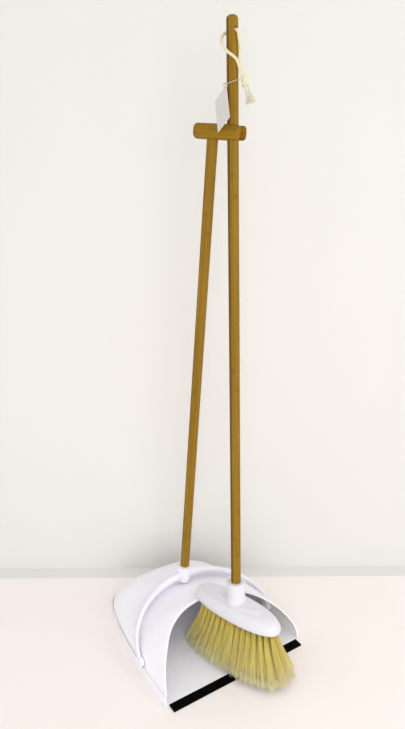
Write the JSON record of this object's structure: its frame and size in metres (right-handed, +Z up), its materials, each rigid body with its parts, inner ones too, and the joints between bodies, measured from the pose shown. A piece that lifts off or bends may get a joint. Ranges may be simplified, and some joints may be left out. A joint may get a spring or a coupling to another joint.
{
  "type": "dust pan and brush set",
  "caption": "Hooded white dustpan on a hoop handle with a bamboo pole and notched crossbar, holding an oval broom on a bamboo pole with a hanging cord.",
  "frame": {"origin": "on the floor under the pan, at the middle of the mouth's edge", "axes": "+X across the mouth to the viewer's right when looking into the pan's back, +Y from the mouth to the back of the pan, +Z up along the standing poles"},
  "size_m": [0.2762, 0.3619, 0.9863],
  "materials": {
    "white_plastic": "moulded, glossy, slightly cool white",
    "lip_rubber": "black, matt, flexible",
    "bamboo": "laminated bamboo, golden brown, satin varnish",
    "screw_steel": "zinc-plated steel",
    "block_plastic": "moulded, matt, off-white",
    "bristle": "pale straw-yellow plastic fibre, flagged at the tips",
    "staple_wire": "bare flattened wire",
    "cord_cotton": "cream twisted cotton",
    "card": "blank grey-white card",
    "thread": "thin waxed thread"
  },
  "bodies": {
    "pan": {"pan_body": "white_plastic", "lip_seal": "lip_rubber"},
    "handle": {"hoop_handle": "white_plastic", "pan_pole": "bamboo", "pan_pole_screw": "screw_steel", "crossbar": "bamboo", "crossbar_screw": "screw_steel"},
    "broom": {"broom_pole": "bamboo", "broom_pole_screw": "screw_steel", "head_shell": "white_plastic", "bristle_block": "block_plastic", "block_screws": "screw_steel", "bristles_outer_left": "bristle", "bristles_outer_right": "bristle", "bristles_middle": "bristle", "bristles_inner": "bristle", "tuft_staples": "staple_wire", "tag_thread_loop": "thread", "cord_leg_front": "cord_cotton", "cord_leg_rear": "cord_cotton", "cord_knot": "cord_cotton", "cord_tassel": "cord_cotton"},
    "tag": {"hang_tag": "card", "tag_thread_link": "thread"}
  },
  "joints": [
    {"name": "broom_lift_off", "type": "slide", "parent": "pan", "child": "broom", "axis": [0.12, -0.9928, 0], "range_m": [0, 1.2]},
    {"name": "hoop_pivot", "type": "hinge", "parent": "pan", "child": "handle", "pos_m": [0, 0.082, 0.023], "axis": [1, 0, 0], "range_deg": [0, 65]},
    {"name": "tag_swing", "type": "hinge", "parent": "broom", "child": "tag", "pos_m": [0.0019, 0.0494, 0.9015], "axis": [0, 1, 0], "range_deg": [0, 50]}
  ],
  "couplings": [
    {"joint": "hoop_pivot", "follows": "broom_lift_off", "rad_per_m": 0.945}
  ]
}
